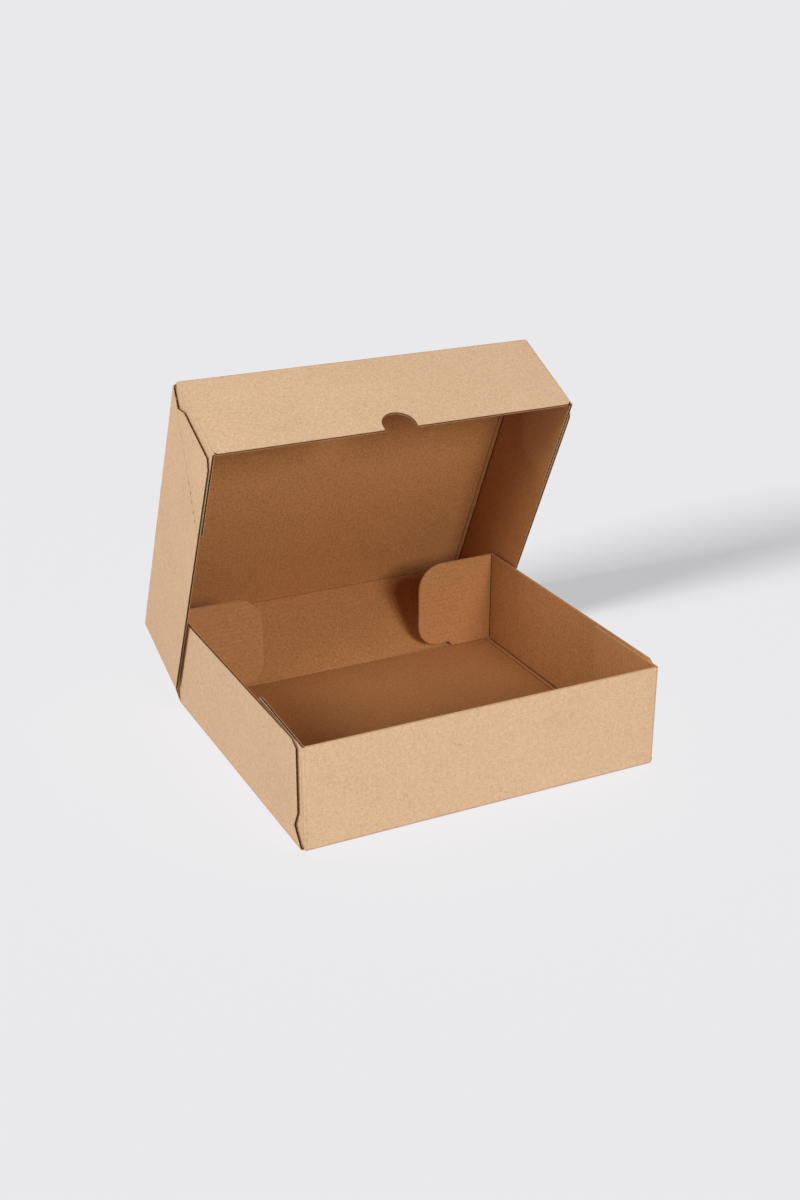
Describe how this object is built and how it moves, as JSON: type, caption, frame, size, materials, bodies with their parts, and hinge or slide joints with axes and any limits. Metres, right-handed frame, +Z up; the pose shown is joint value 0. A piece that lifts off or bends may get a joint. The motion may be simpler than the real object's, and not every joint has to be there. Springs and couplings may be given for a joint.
{
  "type": "mailer box",
  "caption": "Folding corrugated mailer box with a deep hinged lid, glued front corners, a thumb notch and loose rounded rear flaps, standing open.",
  "frame": {"origin": "middle of the tray's underside, on the surface the box stands on", "axes": "+Z up, -Y out of the tray's front wall, +Y towards the back wall and the open lid, +X to the right seen from the front"},
  "size_m": [0.2402, 0.2618, 0.2247],
  "materials": {
    "kraft_board": "matte"
  },
  "bodies": {
    "tray": {"tray": "kraft_board"},
    "back_wall": {"back_wall": "kraft_board"},
    "lid": {"lid": "kraft_board"},
    "rear_flap_left": {"rear_flap_left": "kraft_board"},
    "rear_flap_right": {"rear_flap_right": "kraft_board"}
  },
  "joints": [
    {"name": "back_crease", "type": "hinge", "parent": "tray", "child": "back_wall", "pos_m": [0, 0.1022, 0.0008], "axis": [-1, 0, 0], "range_deg": [-58, 32]},
    {"name": "lid_crease", "type": "hinge", "parent": "back_wall", "child": "lid", "pos_m": [0, 0.158, 0.03567], "axis": [-1, 0, 0], "range_deg": [-6.38, 31.6]},
    {"name": "left_flap_fold", "type": "hinge", "parent": "tray", "child": "rear_flap_left", "pos_m": [-0.1149, 0.0995, 0.033], "axis": [0, 0, -1], "range_deg": [-1, 82]},
    {"name": "right_flap_fold", "type": "hinge", "parent": "tray", "child": "rear_flap_right", "pos_m": [0.1149, 0.0995, 0.033], "axis": [0, 0, 1], "range_deg": [-1, 82]}
  ]
}
